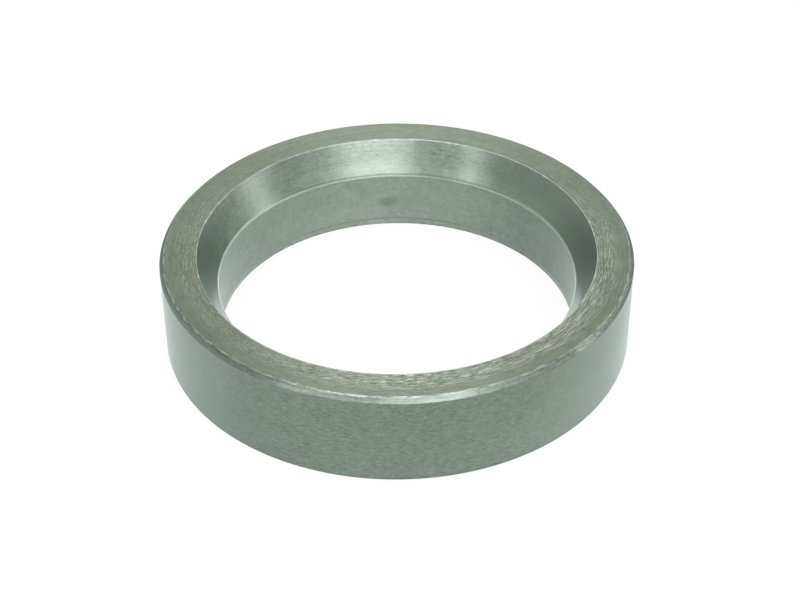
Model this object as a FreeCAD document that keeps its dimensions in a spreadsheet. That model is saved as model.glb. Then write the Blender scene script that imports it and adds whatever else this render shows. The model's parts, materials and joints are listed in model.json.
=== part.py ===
import FreeCAD, Part
import math
import os
import Sketcher

# Thrust ring: one turned and ground steel ring. A steep internal cone opens its upper face,
# so that the ring clears the fillet at the foot of a shaft's shoulder. Below the cone is the
# plain bore that grips the journal, with a slender lead-in at its foot. The flat lower face
# pushes against a bearing's inner ring, and a seal's lip can run on the outer wall.
#
# Millimetres, +Z up. The origin is on the axis, in the plane of the lower face.

# Driving dimensions: name, value, and what it measures. The angle is in degrees.
SIZES = (
    ("bore_diameter", 91.0, "Bore that grips the journal"),
    ("wall_thickness", 14.5, "From the bore out to the ground outer wall"),
    ("ring_width", 25.0, "From the lower face up to the upper face"),
    ("cone_depth", 8.3, "Cone, from the upper face down to its edge break"),
    ("cone_angle", 30.0, "Slope of the cone, from the axis"),
    ("break_width", 0.35, "Edge break between cone and bore, measured across the axis"),
    ("break_depth", 0.8, "The same edge break, measured along the axis"),
    ("lead_width", 0.4, "Lead-in at the foot of the bore, measured across the axis"),
    ("lead_height", 2.0, "The same lead-in, measured along the axis"),
    ("upper_chamfer", 1.2, "Chamfer of 45 degrees round the upper face"),
    ("lower_chamfer", 0.5, "Chamfer of 45 degrees round the lower face"),
    ("mouth_rounding", 0.2, "Rounding where the upper face meets the cone"),
)

# What the expressions of more than one sketch need
BORE_RADIUS = "Sizes.bore_diameter / 2"
OUTER_RADIUS = "Sizes.bore_diameter / 2 + Sizes.wall_thickness"

# Sketcher goes by numbers. -1 is a sketch's X axis and -2 its Y axis. After a line's number
# comes 1 for its start or 2 for its end, and (-1, 1) is the origin. Corner N of an outline is
# the start of line N.
ORIGIN = (-1, 1)

# Two heights nearer than this are the same height.
SAME_HEIGHT = 1e-6


def fill_sheet(document):
    """Write each driving dimension to a row of its own, with its name as the cell's alias"""
    sheet = document.addObject("Spreadsheet::Sheet", "Sizes")
    for row, (alias, value, meaning) in enumerate(SIZES, 1):
        sheet.set("A%d" % row, alias)
        sheet.set("B%d" % row, str(value))
        sheet.set("C%d" % row, meaning)
        sheet.setAlias("B%d" % row, alias)
    document.recompute()
    return sheet


def half_section(body, name, corners):
    """A sketch on the body's XZ plane, with straight lines from corner to corner

    The sketch's X is the radius and its Y is the height. The corners are near their places,
    and the constraints that follow put them there.
    """
    sketch = body.newObject("Sketcher::SketchObject", name)
    plane = [part for part in body.Origin.OriginFeatures if part.Role == "XZ_Plane"][0]
    sketch.AttachmentSupport = (plane, [""])
    sketch.MapMode = "FlatFace"
    points = [FreeCAD.Vector(radius, height, 0) for radius, height in corners]
    for start, end in zip(points, points[1:] + points[:1]):
        sketch.addGeometry(Part.LineSegment(start, end))
    for line in range(len(points)):
        following = (line + 1) % len(points)
        sketch.addConstraint(Sketcher.Constraint("Coincident", line, 2, following, 1))
    return sketch


def put_on_lower_face(sketch, *corners):
    """Hold corners of the outline on the sketch's X axis, which lies in the lower face"""
    for corner in corners:
        sketch.addConstraint(Sketcher.Constraint("PointOnObject", corner, 1, -1))


def put_on_centre_line(sketch, *corners):
    """Hold corners of the outline on the sketch's Y axis, which is the axis of the ring"""
    for corner in corners:
        sketch.addConstraint(Sketcher.Constraint("PointOnObject", corner, 1, -2))


def lay(sketch, direction, *lines):
    """Make lines of the outline Horizontal or Vertical"""
    for line in lines:
        sketch.addConstraint(Sketcher.Constraint(direction, line))


def dimension(sketch, name, expression, kind, *place):
    """Add a dimension with a name of its own, and bind it to the sheet"""
    value = sketch.evalExpression(expression)
    number = sketch.addConstraint(Sketcher.Constraint(kind, *place, value))
    sketch.renameConstraint(number, name)
    sketch.setExpression("Constraints." + name, expression)


def set_radius(sketch, corner, name, expression):
    """Dimension a corner's distance from the ring's axis"""
    dimension(sketch, name, expression, "DistanceX", *ORIGIN, corner, 1)


def set_height(sketch, corner, name, expression):
    """Dimension a corner's height over the lower face"""
    dimension(sketch, name, expression, "DistanceY", *ORIGIN, corner, 1)


def turn(body, kind, name, sketch):
    """Sweep a half section once round the axis, as a Revolution or as a Groove"""
    feature = body.newObject("PartDesign::" + kind, name)
    feature.Profile = sketch
    feature.ReferenceAxis = (sketch, ["V_Axis"])
    feature.Angle = 360.0
    body.Document.recompute()
    return feature


def rim(feature, height, pick):
    """Name of a round edge at this height: pick is max for the widest, min for the narrowest"""
    rims = {}
    for number, edge in enumerate(feature.Shape.Edges, 1):
        if isinstance(edge.Curve, Part.Circle):
            if abs(edge.Curve.Center.z - height) < SAME_HEIGHT:
                rims[edge.Curve.Radius] = "Edge%d" % number
    return rims[pick(rims)]


def dress_rim(body, kind, name, measure, alias, height, pick):
    """Put a Chamfer or a Fillet on a rim of the body's last feature"""
    last = body.Tip
    feature = body.newObject("PartDesign::" + kind, name)
    feature.Base = (last, [rim(last, height, pick)])
    feature.setExpression(measure, "Sizes." + alias)
    body.Document.recompute()
    return feature


def turn_blank(body, sheet):
    """The plain ring that everything else is cut from"""
    inner, top = sheet.bore_diameter / 2, sheet.ring_width
    outer = inner + sheet.wall_thickness
    sketch = half_section(body, "blank_section", [(inner, 0), (outer, 0), (outer, top), (inner, top)])
    lower_inner, lower_outer, upper_outer, upper_inner = range(4)
    put_on_lower_face(sketch, lower_inner, lower_outer)
    lay(sketch, "Vertical", lower_outer, upper_inner)
    lay(sketch, "Horizontal", upper_outer)
    set_radius(sketch, lower_inner, "bore", BORE_RADIUS)
    set_radius(sketch, lower_outer, "outside", OUTER_RADIUS)
    set_height(sketch, upper_outer, "width", "Sizes.ring_width")
    return turn(body, "Revolution", "blank", sketch)


def cut_cone(body, sheet):
    """The internal cone, and the small edge break that leads from it into the bore"""
    bore, top = sheet.bore_diameter / 2, sheet.ring_width
    foot = bore + sheet.break_width
    foot_height = top - sheet.cone_depth
    floor_height = foot_height - sheet.break_depth
    mouth = foot + sheet.cone_depth * math.tan(math.radians(sheet.cone_angle))
    corners = [(0, floor_height), (bore, floor_height), (foot, foot_height), (mouth, top), (0, top)]
    sketch = half_section(body, "cone_section", corners)
    floor_centre, bore_edge, cone_foot, cone_mouth, top_centre = range(5)
    put_on_centre_line(sketch, floor_centre, top_centre)
    lay(sketch, "Horizontal", floor_centre, cone_mouth)
    set_height(sketch, cone_mouth, "top", "Sizes.ring_width")
    set_radius(sketch, bore_edge, "bore", BORE_RADIUS)
    dimension(sketch, "break_width", "Sizes.break_width", "DistanceX", bore_edge, 1, cone_foot, 1)
    dimension(sketch, "break_depth", "Sizes.break_depth", "DistanceY", bore_edge, 1, cone_foot, 1)
    dimension(sketch, "depth", "Sizes.cone_depth", "DistanceY", cone_foot, 1, cone_mouth, 1)
    dimension(sketch, "slope", "90 deg - Sizes.cone_angle * 1 deg", "Angle", cone_foot)
    return turn(body, "Groove", "cone", sketch)


def cut_lead_in(body, sheet):
    """The slender taper at the foot of the bore, which starts the ring on its journal"""
    bore, rise = sheet.bore_diameter / 2, sheet.lead_height
    corners = [(0, 0), (bore + sheet.lead_width, 0), (bore, rise), (0, rise)]
    sketch = half_section(body, "lead_in_section", corners)
    foot_centre, taper_foot, taper_top, top_centre = range(4)
    put_on_lower_face(sketch, foot_centre, taper_foot)
    put_on_centre_line(sketch, foot_centre, top_centre)
    lay(sketch, "Horizontal", taper_top)
    set_radius(sketch, taper_foot, "foot", BORE_RADIUS + " + Sizes.lead_width")
    set_radius(sketch, taper_top, "bore", BORE_RADIUS)
    set_height(sketch, taper_top, "rise", "Sizes.lead_height")
    return turn(body, "Groove", "lead_in", sketch)


def thrust_ring(document, sheet):
    """The whole ring, in the order in which it is machined"""
    body = document.addObject("PartDesign::Body", "ThrustRing")
    body.Label = "thrust_ring"
    top = sheet.ring_width
    turn_blank(body, sheet)
    cut_cone(body, sheet)
    cut_lead_in(body, sheet)
    dress_rim(body, "Chamfer", "upper_rim", "Size", "upper_chamfer", top, max)
    dress_rim(body, "Chamfer", "lower_rim", "Size", "lower_chamfer", 0, max)
    dress_rim(body, "Fillet", "mouth_rim", "Radius", "mouth_rounding", top, min)
    return body


def check(document, bodies):
    """Stop if a feature has failed, or if a piece has no sound solid"""
    for item in document.Objects:
        if "Invalid" in item.State or "Error" in item.State:
            raise RuntimeError("%s: %s" % (item.Label, item.State))
    for body in bodies:
        if body.Shape.isNull() or not body.Shape.isValid() or len(body.Shape.Solids) != 1:
            raise RuntimeError("%s has no sound solid" % body.Label)


document = FreeCAD.newDocument("thrust_ring")
pieces = [thrust_ring(document, fill_sheet(document))]
document.recompute()
check(document, pieces)

os.makedirs("parts", exist_ok=True)
for piece in pieces:
    piece.Shape.exportStep("parts/%s.step" % piece.Label)
    box = piece.Shape.BoundBox
    print("%s: %.2f x %.2f x %.2f mm, %.0f mm3, %d faces" % (
        piece.Label, box.XLength, box.YLength, box.ZLength, piece.Shape.Volume,
        len(piece.Shape.Faces)))
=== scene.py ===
# %% [markdown]
# # A turned steel thrust ring
#
# On an axle this ring sits between a shoulder and a bearing. Its flat lower face pushes the
# bearing, its bore grips the journal, and the steep cone in its mouth keeps clear of the fillet
# at the foot of the shoulder. It is one piece of bare steel, so nearly all that the eye gets is
# how each face was cut: ground outside, faced on top, turned in the cone, bored below it.
#
# The CAD model is the fixed frame. It is loaded first, and everything is measured from it.

# %% Load the packed ring
import json
import math
import bpy
import numpy as np
from mathutils import Matrix, Vector


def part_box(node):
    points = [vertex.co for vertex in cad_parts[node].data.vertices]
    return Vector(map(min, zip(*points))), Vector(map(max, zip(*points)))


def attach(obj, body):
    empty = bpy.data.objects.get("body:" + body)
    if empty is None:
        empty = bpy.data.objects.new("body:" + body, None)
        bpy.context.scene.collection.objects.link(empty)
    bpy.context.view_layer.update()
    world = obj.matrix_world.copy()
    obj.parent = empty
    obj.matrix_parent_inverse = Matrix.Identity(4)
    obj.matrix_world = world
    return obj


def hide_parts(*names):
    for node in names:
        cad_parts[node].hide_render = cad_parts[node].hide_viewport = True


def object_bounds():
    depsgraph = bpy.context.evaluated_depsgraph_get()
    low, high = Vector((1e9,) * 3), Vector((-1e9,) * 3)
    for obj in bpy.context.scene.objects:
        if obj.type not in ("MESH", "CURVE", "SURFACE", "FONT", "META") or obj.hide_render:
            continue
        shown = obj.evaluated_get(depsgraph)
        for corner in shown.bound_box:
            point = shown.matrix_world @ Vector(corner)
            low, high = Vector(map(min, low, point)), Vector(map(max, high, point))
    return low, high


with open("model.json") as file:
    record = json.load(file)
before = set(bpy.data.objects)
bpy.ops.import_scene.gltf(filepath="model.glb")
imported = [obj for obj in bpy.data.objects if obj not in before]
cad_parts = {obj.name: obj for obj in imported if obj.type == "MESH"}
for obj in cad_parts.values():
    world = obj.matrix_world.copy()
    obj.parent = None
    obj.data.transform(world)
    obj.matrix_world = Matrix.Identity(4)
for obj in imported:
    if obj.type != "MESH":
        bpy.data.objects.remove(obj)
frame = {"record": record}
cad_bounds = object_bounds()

for corner in cad_bounds:
    print("a corner of the CAD box, in mm:", [round(1000 * value, 2) for value in corner])

# %% [markdown]
# ## Sizes
#
# Blender works in metres and a drawing of a ring in millimetres, so sizes are written in
# millimetres and multiplied by MM. The outside and the width come from the frame's box, and the
# bore from the mount that the frame's record gives for it. Only what neither holds is written
# here: the cone, the chamfers and the small breaks of the edges.

# %% The ring's sizes
MM = 0.001

lowest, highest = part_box("thrust_ring")
OUTER_RADIUS = highest.x / MM
RING_WIDTH = (highest.z - lowest.z) / MM
mounts = {mount["name"]: mount for mount in frame["record"]["mounts"]}
BORE_RADIUS = mounts["journal_bore"]["dims"]["r_mm"]

CONE_DEPTH = 8.3
CONE_ANGLE = math.radians(30)
BREAK_WIDTH, BREAK_DEPTH = 0.35, 0.8
LEAD_WIDTH, LEAD_HEIGHT = 0.4, 2.0
UPPER_CHAMFER, LOWER_CHAMFER = 1.2, 0.5

CONE_FOOT_HEIGHT = RING_WIDTH - CONE_DEPTH
BORE_TOP = CONE_FOOT_HEIGHT - BREAK_DEPTH
CONE_FOOT_RADIUS = BORE_RADIUS + BREAK_WIDTH
MOUTH_RADIUS = CONE_FOOT_RADIUS + CONE_DEPTH * math.tan(CONE_ANGLE)
print("outside %.2f, bore %.2f, mouth %.2f, width %.2f mm" % (
    2 * OUTER_RADIUS, 2 * BORE_RADIUS, 2 * MOUTH_RADIUS, RING_WIDTH))

# %% [markdown]
# ## Camera
#
# The camera stands where the picture was taken from: in front of the ring and 37 degrees above
# it, with a long lens, so that the far side of the bore shows under the near side of the mouth.
# It looks almost exactly at the middle of the ring. Three small turns take up the rest: yaw to
# the side, pitch up or down, and roll about the line of sight.

# %% Camera
CAMERA_DISTANCE = 463.8
CAMERA_ELEVATION = math.radians(36.94)
YAW, PITCH, ROLL = math.radians(-0.093), math.radians(-0.462), math.radians(0.415)
FOCAL_LENGTH = 80.93


def aim_camera():
    """Put a camera in front of the ring, aimed at its middle but for the three small turns"""
    back = Vector((0, -math.cos(CAMERA_ELEVATION), math.sin(CAMERA_ELEVATION)))
    right = Vector((1, 0, 0))
    axes = Matrix((right, back.cross(right), back)).transposed()
    for column, angle in ((1, YAW), (0, PITCH), (2, -ROLL)):
        axes = Matrix.Rotation(angle, 3, axes.col[column]) @ axes
    lens = bpy.data.cameras.new("camera")
    lens.lens = FOCAL_LENGTH
    lens.clip_start, lens.clip_end = 10 * MM, 20.0
    camera = bpy.data.objects.new("camera", lens)
    place = Vector((0, 0, RING_WIDTH / 2)) + CAMERA_DISTANCE * back
    camera.matrix_world = Matrix.Translation(place * MM) @ axes.to_4x4()
    bpy.context.scene.collection.objects.link(camera)
    return camera


bpy.context.scene.camera = aim_camera()
bpy.context.scene.view_settings.view_transform = "Standard"
print("camera at", [round(value, 4) for value in bpy.context.scene.camera.matrix_world.translation])

# %% [markdown]
# ## Shader maths
#
# Most finishes below are sums of a few noises. Written with nodes by hand such a sum takes a
# page, so a socket is wrapped in a small class on which Python's own operators add the nodes: on
# numbers a Math node, on colours and vectors a Vector Math node. Every other node comes from
# node(), which takes its type, its settings and what goes into its sockets.
#
# Ramps and bands say where something lies. A ramp rises from 0 to 1 between two values, and a
# band is 1 at one value and 0 on both sides of it.

# %% A socket to calculate with
class Wire:
    """A node's output, on which +, -, *, / and ** add the node that calculates the result"""

    def __init__(self, socket):
        self.socket = socket
        self.tree = socket.id_data
        self.is_number = socket.type == "VALUE"

    def calculate(self, operation, first, second):
        """Add the node for one operation on this wire and one other operand"""
        wires = [operand for operand in (first, second) if isinstance(operand, Wire)]
        if all(wire.is_number for wire in wires):
            return node(self.tree, "Math", {"operation": operation}, {0: first, 1: second})
        first, second = [(operand,) * 3 if isinstance(operand, (int, float)) else operand
                         for operand in (first, second)]
        return node(self.tree, "VectorMath", {"operation": operation}, {0: first, 1: second})

    def __add__(self, other):
        return self.calculate("ADD", self, other)

    def __sub__(self, other):
        return self.calculate("SUBTRACT", self, other)

    def __mul__(self, other):
        return self.calculate("MULTIPLY", self, other)

    def __truediv__(self, other):
        return self.calculate("DIVIDE", self, other)

    def __pow__(self, other):
        return self.calculate("POWER", self, other)

    def __radd__(self, other):
        return self.calculate("ADD", other, self)

    def __rsub__(self, other):
        return self.calculate("SUBTRACT", other, self)

    def __rmul__(self, other):
        return self.calculate("MULTIPLY", self, other)

    def __rtruediv__(self, other):
        return self.calculate("DIVIDE", other, self)


def node(tree, kind, settings, inputs, output=0):
    """Add a node: its type without ShaderNode, its settings, then its sockets' values or wires"""
    made = tree.nodes.new("ShaderNode" + kind)
    for name, value in settings.items():
        setattr(made, name, value)
    for name, value in inputs.items():
        if isinstance(value, Wire):
            tree.links.new(value.socket, made.inputs[name])
        else:
            made.inputs[name].default_value = value
    return Wire(made.outputs[output]) if made.outputs else made


def coordinates(vector):
    """The three numbers of a vector"""
    split = node(vector.tree, "SeparateXYZ", {}, {0: vector}).socket.node
    return [Wire(output) for output in split.outputs]


def ramp(value, low, high):
    """0 where value is below low, 1 where it is above high, and smooth between"""
    return node(value.tree, "MapRange", {"interpolation_type": "SMOOTHSTEP"}, {
        "Value": value, "From Min": low, "From Max": high})


def band(value, centre, half_width, full, gone):
    """1 at the centre. It fades as the squared distance, in half widths, goes from full to gone"""
    off_centre = (value - centre) / half_width
    return 1 - ramp(off_centre * off_centre, full, gone)


def new_material(name):
    """An empty material and its node tree"""
    material = bpy.data.materials.new(name)
    material.use_nodes = True
    material.node_tree.nodes.clear()
    return material, material.node_tree


print("reflected operators:", ", ".join(name for name in vars(Wire) if name.startswith("__r")))

# %% [markdown]
# ## The studio
#
# Bare steel has no colour of its own to speak of: it shows what stands round it. So the studio is
# built for its reflections as much as for its light. The floor and the surround are white, and
# the floor still keeps a soft shadow under the ring. The ceiling is dimmer, which gives the metal
# something darker to show. Light Path nodes let a surface look one way and light another way,
# so the white stays white without washing out the ring.

# %% Floor and surround
FLOOR_HALF_WIDTH = 3.0
FLOOR_GAP = 0.02 * MM
FLOOR_WHITE = 0.9
FLOOR_OWN_LIGHT = 0.9
SURROUND_LIGHT = 0.75
CEILING_LIGHT = 0.62
CEILING_STARTS, CEILING_FULL = math.sin(math.radians(12)), math.sin(math.radians(36))


def seen_directly(tree):
    """1 where the camera, a mirror reflection or glass looks at this surface, else 0"""
    rays = [node(tree, "LightPath", {}, {}, name) for name in (
        "Is Camera Ray", "Is Glossy Ray", "Is Transmission Ray")]
    seen = rays[0] + rays[1] + rays[2]
    seen.socket.node.use_clamp = True
    return seen


def lay_floor():
    """A white floor that keeps a soft shadow and is clear from below"""
    material, tree = new_material("white_floor")
    paper = node(tree, "BsdfDiffuse", {}, {"Color": (FLOOR_WHITE,) * 3 + (1,)})
    light = node(tree, "Emission", {}, {"Color": (1, 1, 1, 1), "Strength": 1.0})
    share = seen_directly(tree) * FLOOR_OWN_LIGHT
    lit = node(tree, "MixShader", {}, {0: share, 1: paper, 2: light})
    clear = node(tree, "BsdfTransparent", {}, {})
    below = node(tree, "NewGeometry", {}, {}, "Backfacing")
    both = node(tree, "MixShader", {}, {0: below, 1: lit, 2: clear})
    node(tree, "OutputMaterial", {}, {"Surface": both})
    half = FLOOR_HALF_WIDTH
    corners = [(-half, -half, 0), (half, -half, 0), (half, half, 0), (-half, half, 0)]
    mesh = bpy.data.meshes.new("floor")
    mesh.from_pydata(corners, [], [(0, 1, 2, 3)])
    mesh.materials.append(material)
    floor = bpy.data.objects.new("floor", mesh)
    floor.location.z = -FLOOR_GAP
    bpy.context.scene.collection.objects.link(floor)
    return floor


def hang_surround():
    """A white surround with a dimmer ceiling: as it looks where it is seen, even where it lights"""
    world = bpy.data.worlds.new("white_surround")
    world.use_nodes = True
    tree = world.node_tree
    tree.nodes.clear()
    up = coordinates(node(tree, "TexCoord", {}, {}, "Generated"))[2]
    seen = 1 - ramp(up, CEILING_STARTS, CEILING_FULL) * (1 - CEILING_LIGHT)
    strength = SURROUND_LIGHT + seen_directly(tree) * (seen - SURROUND_LIGHT)
    white = node(tree, "Background", {}, {"Color": (1, 1, 1, 1), "Strength": strength})
    node(tree, "OutputWorld", {}, {"Surface": white})
    bpy.context.scene.world = world
    return world


print("stage:", lay_floor().name, "and", hang_surround().name)

# %% [markdown]
# ## The softboxes
#
# The large one stands behind the camera and a little to the right. With the one above it and a
# shoulder at each side it makes the bright patch on the far side of the cone and the bright front
# of the chamfer. Two narrow strips at the sides, and a faint step beside the large one, give the
# cone its fainter bars. A fill reaches round the chamfer at the right, and a strip high over the
# far side lies in the rings of the upper face. A panorama of a studio could light the ring too,
# but with lamps each reflection can be moved and dimmed by itself.
#
# Each softbox is written as a photographer would say it: which way it stands from the ring, how
# wide and how high it looks from there, and how bright it is when white paper is 1.

# %% Softboxes
STAND_DISTANCE = 1.2
LAMP_COLOUR = (1.0, 0.955, 0.995)


def stand(azimuth, elevation):
    """A place that faces the ring. Azimuth 0 is the camera's side and 90 the right, in degrees"""
    across, up = math.radians(azimuth), math.radians(elevation)
    level = math.cos(up)
    towards = Vector((math.sin(across) * level, -math.cos(across) * level, math.sin(up)))
    facing = towards.to_track_quat("Z", "Y").to_matrix().to_4x4()
    return Matrix.Translation(towards * STAND_DISTANCE) @ facing


def seen_size(degrees):
    """The length that looks this wide from the ring"""
    return 2 * STAND_DISTANCE * math.tan(math.radians(degrees) / 2)


def softbox(name, azimuth, elevation, width, height, brightness):
    """An even rectangular light that looks this wide, high and bright from the ring"""
    lamp = bpy.data.lights.new(name, "AREA")
    lamp.shape = "RECTANGLE"
    lamp.color = LAMP_COLOUR
    lamp.size, lamp.size_y = seen_size(width), seen_size(height)
    lamp.energy = brightness * math.pi * lamp.size * lamp.size_y
    made = bpy.data.objects.new(name, lamp)
    made.matrix_world = stand(azimuth, elevation)
    made.visible_camera = False
    bpy.context.scene.collection.objects.link(made)
    print("%s: %.2f x %.2f m, %.1f W" % (name, lamp.size, lamp.size_y, lamp.energy))


softbox("key_softbox", 12, 31, 36, 32, 2.75)
softbox("upper_softbox", -4, 65, 56, 22, 2.2)
softbox("left_shoulder", -38, 44, 34, 20, 1.1)
softbox("right_shoulder", 52, 43, 34, 20, 1.0)
softbox("left_strip", -46, 19, 10, 26, 2.6)
softbox("right_step", 42, 21, 16, 22, 0.5)
softbox("right_strip", 89, 12, 12, 22, 2.0)
softbox("right_fill", 112, 32, 50, 26, 0.6)
softbox("overhead_strip", 180, 65, 30, 60, 2.1)

# %% [markdown]
# ## The section
#
# A turned part is one outline swept round an axis, so the outline is drawn first: ten corners,
# each with the face that starts there, its place, the small rounding that a file or wear leaves
# on it, and the finish of that rounding. No real edge is sharp, and it is the rounding that
# catches the light as a fine bright line. The upper chamfer was turned in two touches, and the
# second one left a narrow, flatter facet along its upper side. A Bevel modifier could round a
# sharp ring, but here every corner has a rounding of its own, so the arcs are worked out.
#
# Close to each end of a flat stretch goes one more point. Smooth shading blends the directions of
# neighbouring faces, and these points keep the blend inside the rounding and off the flats.

# %% The half section with its rounded corners
FACET_RADIUS, FACET_HEIGHT = OUTER_RADIUS - 0.90, RING_WIDTH - 0.21
CORNERS = (
    ("lower_face", BORE_RADIUS + LEAD_WIDTH, 0, 0.05, "lead_in"),
    ("lower_chamfer", OUTER_RADIUS - LOWER_CHAMFER, 0, 0.10, "lower_chamfer"),
    ("outer_wall", OUTER_RADIUS, LOWER_CHAMFER, 0.12, "worn_edge"),
    ("upper_chamfer", OUTER_RADIUS, RING_WIDTH - UPPER_CHAMFER, 0.15, "upper_chamfer"),
    ("upper_facet", FACET_RADIUS, FACET_HEIGHT, 0.15, "bright_edge"),
    ("upper_face", OUTER_RADIUS - UPPER_CHAMFER, RING_WIDTH, 0.30, "upper_facet"),
    ("cone", MOUTH_RADIUS, RING_WIDTH, 0.22, "bright_edge"),
    ("edge_break", CONE_FOOT_RADIUS, CONE_FOOT_HEIGHT, 0.40, "edge_break"),
    ("bore", BORE_RADIUS, BORE_TOP, 0.40, "edge_break"),
    ("lead_in", BORE_RADIUS, LEAD_HEIGHT, 0.30, "worn_edge"),
)
ARC_STEPS = 4
SUPPORT = 0.03


def round_corner(before, corner, after, rounding):
    """Points of the arc that rounds one corner, with a support point at each end of it"""
    arriving, leaving = (corner - before).normalized(), (after - corner).normalized()
    turn = -arriving.angle_signed(leaving)
    reach = rounding * math.tan(abs(turn) / 2)
    start = corner - arriving * reach
    inwards = Vector((-arriving.y, arriving.x)) * math.copysign(1, turn)
    centre = start + inwards * rounding
    arc = [centre + Matrix.Rotation(turn * step / ARC_STEPS, 2) @ (start - centre)
           for step in range(ARC_STEPS + 1)]
    return [start - arriving * SUPPORT] + arc + [corner + leaving * (reach + SUPPORT)]


def half_section(wear):
    """The outline's points in order. Wear multiplies the rounding of every corner"""
    places = [Vector((radius, height)) for _, radius, height, _, _ in CORNERS]
    points = []
    for number, (_, _, _, rounding, _) in enumerate(CORNERS):
        before, after = places[number - 1], places[(number + 1) % len(places)]
        points += round_corner(before, places[number], after, rounding * wear)
    return np.array([tuple(point) for point in points])


def section_finishes():
    """For each point of the outline, the finish of the stretch that starts there"""
    names = [name for name, _, _, _, _ in CORNERS]
    found = []
    for number, (name, _, _, _, edge) in enumerate(CORNERS):
        found += [names[number - 1]] + [edge] * ARC_STEPS + [name] * 2
    return found


CRISP, WORN = 0.6, 1.5
crisp_section, worn_section = half_section(CRISP), half_section(WORN)
finishes = section_finishes()
print(len(finishes), "points a section, with", len(set(finishes)), "finishes")

# %% [markdown]
# ## Turning the section into a ring
#
# Sweeping means one copy of the outline for each small step of the turn. A Screw modifier does
# that, but its ring is the same all the way round. Edges on a real ring are broken by hand, so
# their rounding grows and shrinks along the rim. Two outlines are made for that, a crisp one and
# a worn one, and each corner drifts between the two on its way round.
#
# Wear is a sum of waves that fit a whole number of times round the ring, so that the end meets
# the start. Bruises are added to it: short places where a knock has flattened the edge further.
# The random numbers are seeded, and every run makes the same ring.

# %% Sweep the outline round the axis
SEGMENTS = 1024
WAVES = 140
BRUISES = 36
chance = np.random.default_rng(8)
turn = np.arange(SEGMENTS) * 2 * math.pi / SEGMENTS


def drift():
    """A smooth random curve round the ring, between 0 and 1"""
    waves = np.arange(1, WAVES + 1)
    phases = chance.uniform(0, 2 * math.pi, WAVES)
    heights = chance.normal(0, 1, WAVES) / waves ** 0.4
    curve = (heights[:, None] * np.cos(waves[:, None] * turn + phases[:, None])).sum(0)
    return np.clip(0.5 + 0.25 * curve / curve.std(), 0, 1)


def bruises():
    """Extra wear in a few short places round the ring"""
    curve = np.zeros(SEGMENTS)
    for _ in range(BRUISES):
        half_length = chance.uniform(0.3, 0.9) / OUTER_RADIUS
        off_centre = (turn - chance.uniform(0, 2 * math.pi) + math.pi) % (2 * math.pi) - math.pi
        curve += chance.uniform(0.3, 1.8) * np.exp(-(off_centre / half_length) ** 2)
    return np.clip(curve, 0, 2)


points_a_corner = len(finishes) // len(CORNERS)
wear = np.repeat([drift() + bruises() for _ in CORNERS], points_a_corner, axis=0)
outline = crisp_section[:, None] + wear[:, :, None] * (worn_section - crisp_section)[:, None]
ring = np.stack([
    outline[:, :, 0] * np.sin(turn),
    -outline[:, :, 0] * np.cos(turn),
    outline[:, :, 1]], axis=2)
print("swept", ring.shape[0], "x", ring.shape[1], "points")

# %% [markdown]
# ## The mesh
#
# The swept points are a grid that closes on itself both ways, so each face joins four neighbours
# of the grid. Every stretch of the outline keeps its finish: the mesh gets one material slot for
# each finish, and the slots are filled one by one further down.

# %% Make the mesh
def ring_mesh(name, points, stretch_finishes):
    """A closed mesh from a grid of points: section by turn, both wrapping round"""
    rows, columns = points.shape[:2]
    number = np.arange(rows * columns).reshape(rows, columns)
    next_row = np.roll(number, -1, 0)
    faces = np.stack([number, np.roll(number, -1, 1), np.roll(next_row, -1, 1), next_row], 2)
    mesh = bpy.data.meshes.new(name)
    mesh.from_pydata((points * MM).reshape(-1, 3).tolist(), [], faces.reshape(-1, 4).tolist())
    order = sorted(set(stretch_finishes))
    slots = np.repeat([order.index(finish) for finish in stretch_finishes], columns)
    mesh.polygons.foreach_set("material_index", slots.astype(np.int32))
    for _ in order:
        mesh.materials.append(None)
    mesh.shade_smooth()
    made = bpy.data.objects.new(name, mesh)
    bpy.context.scene.collection.objects.link(made)
    return made, order


turned_ring, finish_order = ring_mesh("turned_ring", ring, finishes)
triangles = 2 * len(turned_ring.data.polygons)
print(turned_ring.name, "has", triangles, "triangles and the finishes", ", ".join(finish_order))

# %% [markdown]
# ## Places on the ring
#
# Every mark on a turned part runs round its axis. So the finishes need to know, for each point,
# its direction from the axis, its distance from the axis and its height. Streaks are then a
# plain noise whose space is squeezed: slow along the turn and quick across it. The direction goes
# in as a sine and a cosine, which have no seam. A picture wrapped round the ring would have one,
# and would blur close up.

# %% Polar places and streaks
class Place:
    """Wires for where a point lies on the ring, in millimetres from the axis and the lower face"""

    def __init__(self, tree):
        self.tree = tree
        self.point = node(tree, "TexCoord", {}, {}, "Object") * (1 / MM)
        self.x, self.y, self.height = coordinates(self.point)
        self.radius = (self.x * self.x + self.y * self.y) ** 0.5


def streaks(place, across, length, width, seed, detail=2.0):
    """Noise drawn out along the turn, into marks of about this length and width in mm"""
    stretch = BORE_RADIUS / length
    sine, cosine = place.x / place.radius, place.y / place.radius
    space = node(place.tree, "CombineXYZ", {}, {
        0: sine * stretch, 1: cosine * stretch, 2: across / width})
    return node(place.tree, "TexNoise", {"noise_dimensions": "4D"}, {
        "Vector": space, "W": seed, "Scale": 1.0, "Detail": detail})


def clouds(place, size, seed, detail=2.0):
    """Soft patches of about this size in mm"""
    return node(place.tree, "TexNoise", {"noise_dimensions": "4D"}, {
        "Vector": place.point, "W": seed, "Scale": 1 / size, "Detail": detail})


print("streaks 1 mm long fit %d times round the bore" % round(2 * math.pi * BORE_RADIUS))

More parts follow.
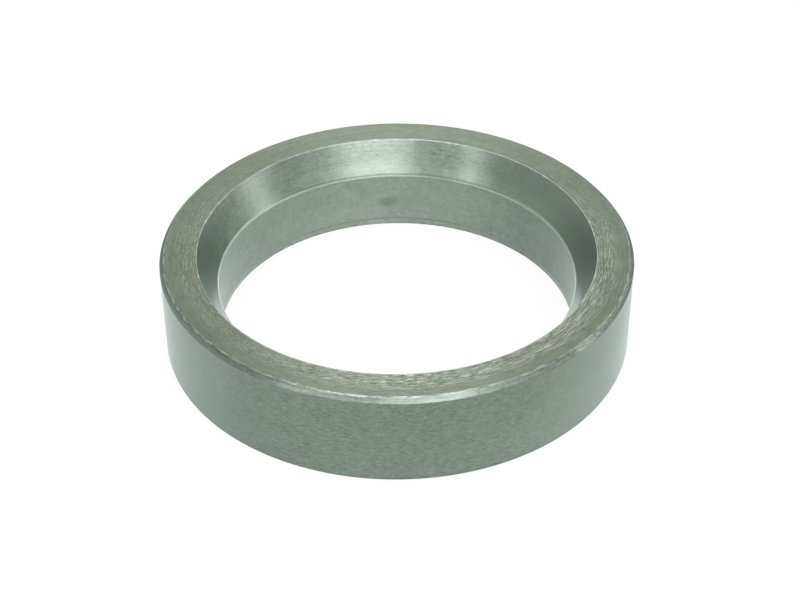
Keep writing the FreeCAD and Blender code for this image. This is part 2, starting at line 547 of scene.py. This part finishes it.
# %% [markdown]
# ## Bare steel
#
# One function makes the shader that all the finishes share. The metal's colour is what a white
# surround looks like in it, a slightly greenish grey. Marks all run one way, so the highlight is
# spread across them: that is what Anisotropic does, and the quarter turn points it across the
# marks. Tone multiplies the colour, and in several finishes it also carries painted light and
# shade. Pale is added to it for light scratches and lines and for painted highlights, and relief
# is a height in thousandths of a millimetre. Glance is how bright the metal gets where it is seen
# almost edge on, and its tint makes it a little cooler there.
#
# New parts leave the works with a film of oil, and a thin coat over the metal is that film: it
# hardly shows where the steel faces the camera, and turns its sides pale.

# %% The steel shader
GROUND_STEEL = (0.203, 0.255, 0.212)
FACED_STEEL = (0.211, 0.257, 0.192)
GLANCE_TINT = (0.95, 1.0, 1.0)
OIL_ROUGHNESS = 0.25
MICRON = 0.001 * MM


def steel(colour, tone, roughness, relief, spread, glance=1.0, oil=0.0, pale=0.0):
    """Fill tone's tree with a metal shader. Spread is how far marks draw the highlight out"""
    tree = tone.tree
    metal = node(tree, "CombineXYZ", {}, dict(enumerate(colour)))
    bump = node(tree, "Bump", {}, {"Height": relief, "Distance": MICRON, "Strength": 1.0})
    surface = node(tree, "BsdfPrincipled", {}, {
        "Base Color": metal * tone + pale, "Metallic": 1.0, "Roughness": roughness,
        "Specular Tint": tuple(glance * share for share in GLANCE_TINT) + (1.0,),
        "Coat Weight": oil, "Coat Roughness": OIL_ROUGHNESS,
        "Anisotropic": spread, "Anisotropic Rotation": 0.25, "Normal": bump})
    node(tree, "OutputMaterial", {}, {"Surface": surface})


def dress(finish):
    """Make the material of one finish, and put it on the stretches of the ring that have it"""
    name = finish.__name__
    material, tree = new_material(name)
    finish(Place(tree))
    turned_ring.data.materials[finish_order.index(name)] = material
    print("%s: %d nodes" % (name, len(tree.nodes)))


print("ground steel", GROUND_STEEL, "and faced steel", FACED_STEEL)

# %% [markdown]
# ## The ground outer wall
#
# A grinding wheel leaves thousands of short cuts, each a millimetre or so long and a hair wide,
# all along the turn. They show as a fine even grain, most of all in front. One noise would look
# like a printed pattern, so two kinds of cut are laid over a mottle and large soft patches. A
# darker, duller ring follows the foot. The sides and the two ends, which the eye only grazes,
# carry a painted sheen, the left a little painted shade, and a painted reflection of the floor
# lightens the lower wall, most at the right.

# %% Outer wall
def outer_wall(place):
    """Ground steel: a fine grain of short cuts along the turn"""
    cuts = streaks(place, place.height, 1.3, 0.34, 11) - 0.5
    grain = streaks(place, place.height, 0.6, 0.45, 12) - 0.5
    mottle = clouds(place, 1.8, 14) - 0.5
    patches = clouds(place, 9.0, 13) - 0.5
    front = 0.4 + 0.6 * ramp(place.y * -1, 40.0, 56.0)
    foot = 1 - ramp(place.height, LOWER_CHAMFER + 0.4, LOWER_CHAMFER + 0.9)
    low = 1 - ramp(place.height, 3.0, 20.0)
    left = ramp(place.x * -1, 22.0, 36.0)
    left_end_sheen, right_end_sheen = ramp(place.x * -1, 56.0, 59.5), ramp(place.x, 52.0, 58.0)
    # Painted sheen on the sides and both ends, the right end only low down, and painted shade on
    # the left
    side = 0.24 * (1 - front) - 0.07 * left + 0.40 * left_end_sheen + 0.20 * right_end_sheen * low
    marks = front * (0.9 * cuts + 0.55 * grain + 0.30 * mottle) + 0.15 * patches
    # The low term is a painted reflection of the floor, lighter towards the right
    tone = 0.91 + (0.06 + 0.0015 * place.x) * low + side + marks - 0.12 * foot
    roughness = 0.27 + front * 0.12 * cuts + 0.06 * patches
    steel(GROUND_STEEL, tone, roughness, 8 * cuts + 5 * grain, 0.4, oil=0.25)


dress(outer_wall)

# %% [markdown]
# ## The faced upper side
#
# A lathe tool that crosses the face leaves rings like the groove of a record. They spread the
# highlight strongly in and out, so the face is bright at the front and back of the picture and
# darker at its sides. They could be cut into the mesh, but they are only some hundredths of a
# millimetre deep, and tone, roughness and a little bump show them as well.
#
# Handling has scratched the inner half along the same rings, most of all on the side that faces
# the camera. The light scratches are drawn out long at the right and are short dashes in front,
# with dark ones between them and a scatter of fine ones all over. The last hair before the mouth
# carries a painted highlight on the camera's side, which shows as a light lip.

# %% Upper face
HANDLED_SIDE = math.radians(35)
SCRATCHED_RADIUS, CLEAN_RADIUS = 53.5, 57.5
LIP_RADIUS, LIP_FADE = MOUTH_RADIUS + 0.21, 0.30


def upper_face(place):
    """Faced steel: tool rings, with scratches that are densest towards the mouth"""
    rings = streaks(place, place.radius, 30.0, 0.40, 21) - 0.5
    short = streaks(place, place.radius, 2.2, 0.20, 22) - 0.5
    mottle = clouds(place, 1.6, 26) - 0.5
    patches = clouds(place, 8.0, 23) - 0.5
    inner = 1 - ramp(place.radius, SCRATCHED_RADIUS, CLEAN_RADIUS)
    facing = place.x * math.sin(HANDLED_SIDE) - place.y * math.cos(HANDLED_SIDE)
    back, right = ramp(place.y, 30.0, 56.0), ramp(place.x, 8.0, 34.0)
    wear_and_painted_light = (0.12 + 0.88 * inner) * (0.10 + 0.90 * ramp(facing, 5.0, 50.0))
    rubbed_and_highlight = inner * (1 - ramp(place.y, 8.0, 36.0))
    drawn = ramp(streaks(place, place.radius, 4.5, 0.12, 29, 1.0), 0.54, 0.64)
    dashed = ramp(streaks(place, place.radius, 1.8, 0.12, 25, 1.0), 0.53, 0.63)
    light = wear_and_painted_light * (right * drawn + (1 - 0.65 * right) * dashed)
    fine = ramp(streaks(place, place.radius, 1.4, 0.12, 27, 1.0), 0.56, 0.65) * rubbed_and_highlight
    dark = ramp(streaks(place, place.radius, 1.8, 0.12, 28, 1.0), 0.54, 0.63) * wear_and_painted_light
    near_mouth = 1 - ramp(place.radius, LIP_RADIUS, LIP_RADIUS + LIP_FADE)
    # The lip is a painted highlight near the mouth on the camera's side
    lip = near_mouth * ramp(place.y * -1, 15.0, 40.0)
    grain = 0.4 * rings + (0.60 + 0.60 * wear_and_painted_light) * short + 0.25 * mottle + 0.18 * patches
    # 0.10 * back is painted light on the far side of the face
    tone = 0.68 + 0.10 * back + grain - (0.45 - 0.15 * right) * dark + 0.50 * light
    roughness = 0.40 + 0.10 * short - 0.08 * light
    relief = 6 * rings + 6 * short + 10 * light - 10 * dark
    pale = 0.13 * light + 0.13 * fine + 0.12 * lip
    steel(FACED_STEEL, tone, roughness, relief, 0.8, pale=pale)


dress(upper_face)

# %% [markdown]
# ## The cone
#
# The cone's marks run along the turn too, but it was cut finer than the face. They draw its
# highlights out into upright bars. The tool stopped at the foot of the cone and left a thin ring
# there, darker at the far middle, and a painted highlight lies on it at the flanks. A few tiny
# pits are scattered over the cone, and short nicks darken its upper part at the back. Painted
# light makes the lower cone lighter and its near half faintly paler, and painted shade darkens
# its far right.

# %% Cone
def cone(place):
    """Finely turned steel with a few pits"""
    rings = streaks(place, place.height, 25.0, 0.35, 31) - 0.5
    grain = streaks(place, place.height, 1.4, 0.40, 32) - 0.5
    mottle = clouds(place, 2.2, 34) - 0.5
    patches = clouds(place, 6.0, 33) - 0.5
    back = 0.25 + 0.75 * ramp(place.y - 0.35 * place.x, 14.0, 40.0)
    flank, near = 1 - ramp(place.y, 27.0, 42.0), 1 - ramp(place.y, 0.0, 26.0)
    low = 1 - ramp(place.height, CONE_FOOT_HEIGHT + 0.8, CONE_FOOT_HEIGHT + 4.8)
    foot = 1 - ramp(place.height, CONE_FOOT_HEIGHT + 0.10, CONE_FOOT_HEIGHT + 0.28)
    shade = 0.12 * ramp(place.x, 20.0, 34.0) * ramp(place.y, 5.0, 18.0)
    pits = ramp(clouds(place, 0.6, 35, 0.0), 0.70, 0.76) * ramp(clouds(place, 7.0, 36), 0.56, 0.66)
    cut = ramp(streaks(place, place.height, 1.0, 0.30, 37, 1.0), 0.58, 0.68)
    nicks = cut * ramp(place.y, 38.0, 46.0) * (1 - low)
    marks = 0.45 * rings + 0.65 * grain + 0.55 * mottle
    # Painted shade on the far right, the foot ring (darker at the far middle, a painted highlight
    # at the flanks), the pits and the nicks
    wear_and_painted_light = (0.34 - 0.80 * flank) * foot + shade + 0.35 * pits + 0.22 * nicks
    # 0.17 * low is painted light on the lower cone
    tone = 0.93 + 0.17 * low + back * marks + 0.15 * patches - wear_and_painted_light
    roughness = 0.33 + back * (0.10 * grain + 0.12 * mottle)
    relief = 5 * rings + 5 * grain - 12 * pits
    # pale on the near half is a faint painted sheen
    steel(GROUND_STEEL, tone, roughness, relief, 0.5, oil=0.6, pale=0.02 * near)


dress(cone)

# %% [markdown]
# ## The bore
#
# The bore is duller than the cone, with light specks and, opposite the camera, one dark stain as
# large as a lentil. It could be painted on, but as a formula it stays with the ring when a size
# changes: an ellipse in turn and height whose rim is pushed about by a noise. A thin dark line
# runs round just above the lead-in, where the cut of the bore ended.

# %% Bore
STAIN_AZIMUTH = math.radians(183.1)
STAIN_HEIGHT = 7.9
STAIN_HALF_LENGTH, STAIN_HALF_HEIGHT = 3.1, 2.1
LINE_HEIGHT, LINE_HALF_WIDTH = LEAD_HEIGHT + 0.10, 0.18


def stain(place):
    """1 in the middle of the stain on the far wall of the bore, 0 outside it"""
    along = (place.x - BORE_RADIUS * math.sin(STAIN_AZIMUTH)) / STAIN_HALF_LENGTH
    up = (place.height - STAIN_HEIGHT) / STAIN_HALF_HEIGHT
    ragged = (clouds(place, 1.6, 46) - 0.5) * 2.0
    return (1 - ramp(along * along + up * up + ragged, 0.1, 1.1)) * ramp(place.y, 0.0, 10.0)


def bore_painted_light(place):
    """Painted light and shade: how much brighter or duller the bore is, side by side, than its
    average
    """
    left, low = ramp(place.x * -1, -2.0, 12.0), 1 - ramp(place.height, 5.0, 13.0)
    side = 0.07 * ramp(place.x * -1, 24.0, 42.0) - 0.22 * ramp(place.x, 5.0, 40.0)
    # Painted light at the back and lower left, a little at the far left, and painted shade at the
    # right
    return 0.16 * ramp(place.y, 22.0, 44.0) + 0.09 * left * low + side


def bore(place):
    """Bored steel: a dull wall with light specks and a stain"""
    rings = streaks(place, place.height, 12.0, 0.40, 41) - 0.5
    grain = streaks(place, place.height, 1.0, 0.50, 42) - 0.5
    mottle = clouds(place, 2.0, 45) - 0.5
    patches = clouds(place, 8.0, 43) - 0.5
    specks = ramp(clouds(place, 0.55, 44, 0.0), 0.72, 0.78)
    grime = stain(place) * (0.7 + 1.2 * grain)
    line = band(place.height, LINE_HEIGHT, LINE_HALF_WIDTH, 0.2, 1.4)
    broken_line = line * ramp(place.y + 14 * patches, 34.0, 45.0)
    marks = 0.25 * rings + 0.4 * grain + 0.5 * mottle + 0.30 * patches
    tone = 1.08 + bore_painted_light(place) + marks + 0.45 * specks - 0.40 * grime - 0.46 * broken_line
    roughness = 0.38 + 0.10 * grain + 0.08 * mottle
    steel(GROUND_STEEL, tone, roughness, 4 * rings + 6 * grain, 0.7, oil=0.45)


dress(bore)

# %% [markdown]
# ## The upper chamfer and its facet
#
# The upper chamfer is the eye-catcher at the front. It was turned in two touches, which left a
# dull groove near its upper edge. The groove wanders and comes and goes, and is deepest at the
# left. At the right painted shade darkens the chamfer, which has a few fine light lines on it.
# The narrow facet above it carries a painted highlight in front, which shows as a broken light
# line.

# %% Upper chamfer and facet
GROOVE_HEIGHT, GROOVE_HALF_WIDTH = RING_WIDTH - 0.38, 0.10
PAINTED_SHADE_PATCH, PAINTED_SHADE_HALF_LENGTH = 45.0, 7.0


def upper_chamfer(place):
    """Turned steel with a dull groove near the top"""
    rings = streaks(place, place.height, 30.0, 0.22, 51) - 0.5
    grain = streaks(place, place.height, 2.5, 0.30, 52) - 0.5
    mottle = clouds(place, 0.9, 56) - 0.5
    busy = 0.3 + 0.7 * ramp(place.x, -34.0, -12.0)
    right, shaded = ramp(place.x, 22.0, 40.0), ramp(place.x, 51.0, 57.0)
    low = 1 - ramp(place.height, RING_WIDTH - 0.9, RING_WIDTH - 0.5)
    wander = 0.5 * (clouds(place, 14.0, 53) - 0.5)
    cut = 0.2 + 0.8 * ramp(place.x * -1, -2.0, 24.0)
    depth = cut * ramp(clouds(place, 5.0, 54), 0.38, 0.54)
    groove = band(place.height, GROOVE_HEIGHT - wander, GROOVE_HALF_WIDTH, 0.3, 1.6) * depth
    dull = band(place.x, PAINTED_SHADE_PATCH, PAINTED_SHADE_HALF_LENGTH, 0.1, 1.2)
    lines = ramp(streaks(place, place.height, 3.0, 0.07, 50, 1.0), 0.57, 0.64) * right
    marks = (0.4 + 0.6 * right) * rings + busy * (0.9 * grain + 0.7 * mottle)
    # The dull patch and the shaded stretch low at the far right are painted shade
    tone = 0.84 + marks - 0.36 * groove - 0.18 * dull - 0.08 * shaded * low
    roughness = 0.28 + 0.10 * grain + 0.10 * mottle
    relief = 8 * rings + 6 * grain - 10 * groove
    steel(GROUND_STEEL, tone, roughness, relief, 0.5, glance=0.45, pale=0.03 + 0.11 * lines)


def upper_facet(place):
    """The narrow facet between chamfer and upper face"""
    grain = streaks(place, place.radius, 2.5, 0.30, 57) - 0.5
    mottle = clouds(place, 0.9, 58) - 0.5
    front = 1 - ramp(place.y - 0.01 * place.x * place.x, -40.0, -20.0)
    broken = ramp(streaks(place, place.radius, 2.0, 0.5, 59), 0.44, 0.54)
    tone = 0.85 + 0.9 * grain + 0.8 * mottle
    roughness = 0.32 + 0.10 * grain
    # pale is a painted highlight in front, broken along the turn
    steel(GROUND_STEEL, tone, roughness, 6 * grain, 0.6, pale=0.16 * front * broken)


dress(upper_chamfer)
dress(upper_facet)

# %% [markdown]
# ## The edge break and the lead-in
#
# The sharp edge between cone and bore was broken with a scraper, which left a narrow band. A
# painted highlight runs along it as a bright ridge, brightest at its two sides, and the band is
# painted lighter at the left. The lead-in is the slender taper under the bore. It is oily and
# dull, and darkest at its foot. It shares the bore's painted light and shade, with more painted
# light at the back and a painted highlight in the far middle.

# %% Edge break and lead-in
RIDGE_HIGHLIGHT_HEIGHT, RIDGE_HIGHLIGHT_HALF_WIDTH = BORE_TOP + 0.34, 0.27
HIGHLIGHT_PATCH, HIGHLIGHT_HALF_LENGTH = -3.0, 6.0


def edge_break(place):
    """The narrow band between cone and bore"""
    grain = streaks(place, place.height, 2.0, 0.30, 61) - 0.5
    patches = clouds(place, 5.0, 62) - 0.5
    side, left = 1 - ramp(place.y, 8.0, 38.0), ramp(place.x * -1, 4.0, 26.0)
    flank, middle = 1 - ramp(place.y, 27.0, 42.0), ramp(place.y, 34.0, 43.0)
    above = ramp(place.height, RIDGE_HIGHLIGHT_HEIGHT, CONE_FOOT_HEIGHT) * (1 - flank)
    half_width = RIDGE_HIGHLIGHT_HALF_WIDTH + 0.14 * flank
    ridge_highlight = band(place.height, RIDGE_HIGHLIGHT_HEIGHT + 0.12 * flank, half_width, 0.1, 1.3)
    # The ridge band is a painted highlight, strongest at the sides; the left is painted lighter,
    # and the band is darker above the ridge at the far side
    shine = 0.80 - 0.12 * above + (0.56 - 0.20 * middle) * ridge_highlight
    tone = (1.26 + 0.25 * left - 0.04 * middle + 0.9 * grain + 0.5 * patches) * shine
    roughness = 0.42 + 0.10 * grain
    pale = (0.26 + 0.10 * left) * side * ridge_highlight
    steel(GROUND_STEEL, tone, roughness, 3 * grain, 0.0, oil=1.0, pale=pale)


def lead_in(place):
    """The slender taper under the bore"""
    grain = streaks(place, place.height, 2.0, 0.35, 71) - 0.5
    mottle = clouds(place, 1.5, 72) - 0.5
    foot = 1 - ramp(place.height + 1.5 * mottle, 0.15, 0.55)
    far = ramp(place.y, 0.0, 10.0)
    rubbed_and_highlight = band(place.x, HIGHLIGHT_PATCH, HIGHLIGHT_HALF_LENGTH, 0.2, 1.4) * far
    # The bore's painted light and shade, painted light at the back and a painted highlight in the
    # far middle; darker towards the foot
    shine = bore_painted_light(place) + 0.15 * ramp(place.y, 30.0, 40.0) + 0.22 * rubbed_and_highlight - 0.25 * foot
    tone = 0.87 + shine + 0.5 * grain + 0.7 * mottle
    roughness = 0.36 + 0.06 * grain
    steel(GROUND_STEEL, tone, roughness, 4 * grain, 0.6, oil=0.6)


dress(edge_break)
dress(lead_in)

# %% [markdown]
# ## The underside
#
# The ring stands on its lower face, so only the dull little chamfer round it is seen from the
# front. The face itself pushes the bearing and has to be true, so it is ground flat, with long
# fine rings.

# %% Lower chamfer and lower face
def lower_chamfer(place):
    """The dull little chamfer that the ring stands on"""
    grain = streaks(place, place.height, 2.0, 0.3, 55) - 0.5
    tone = 0.8 + 0.5 * grain
    roughness = 0.36 + 0.10 * grain
    steel(GROUND_STEEL, tone, roughness, 5 * grain, 0.5, glance=0.4)


def lower_face(place):
    """The face that pushes the bearing: ground flat, with long fine rings"""
    rings = streaks(place, place.radius, 30.0, 0.35, 81) - 0.5
    grain = streaks(place, place.radius, 2.0, 0.4, 82) - 0.5
    patches = clouds(place, 9.0, 83) - 0.5
    tone = 1.0 + 0.5 * rings + 0.4 * grain + 0.2 * patches
    roughness = 0.28 + 0.06 * grain
    steel(GROUND_STEEL, tone, roughness, 4 * rings + 4 * grain, 0.6)


dress(lower_chamfer)
dress(lower_face)

# %% [markdown]
# ## The rims
#
# A rim is only a few tenths of a millimetre wide, but the eye reads the whole shape from it. A
# shader could look for rims by their curvature. Here each is a stretch of the outline, so it has
# a material of its own. Hands and rags burnish the rims of the mouth and of the chamfer, and a
# painted highlight makes them lighter than the rest, the mouth most of all on the camera's
# side. The others are only deburred and stay dull.

# %% Rims
def bright_edge(place):
    """Burnished steel on the rims that hands touch, with a painted highlight"""
    grain = streaks(place, place.radius, 3.0, 0.5, 91) - 0.5
    mouth = 1 - ramp(place.radius, MOUTH_RADIUS + 3.0, MOUTH_RADIUS + 4.0)
    near = 1 - ramp(place.y, -5.0, 25.0)
    # Partly burnish and partly a painted highlight, strongest at the mouth on the camera's side
    tone = 1.5 + 1.8 * grain + 0.3 * mouth * near
    roughness = 0.34 + 0.10 * grain
    steel(GROUND_STEEL, tone, roughness, 3 * grain, 0.2)


def worn_edge(place):
    """Dull steel on the rims that are only deburred"""
    grain = streaks(place, place.height, 3.0, 0.4, 95) - 0.5
    tone = 0.9 + 0.5 * grain
    roughness = 0.32 + 0.06 * grain
    steel(GROUND_STEEL, tone, roughness, 3 * grain, 0.2, glance=0.5)


dress(bright_edge)
dress(worn_edge)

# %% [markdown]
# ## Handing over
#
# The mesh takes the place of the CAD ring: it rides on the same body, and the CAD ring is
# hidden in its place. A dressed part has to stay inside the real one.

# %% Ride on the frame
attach(turned_ring, "root")
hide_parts("thrust_ring")
print(turned_ring.name, "replaces thrust_ring, with", len(turned_ring.data.materials), "finishes")
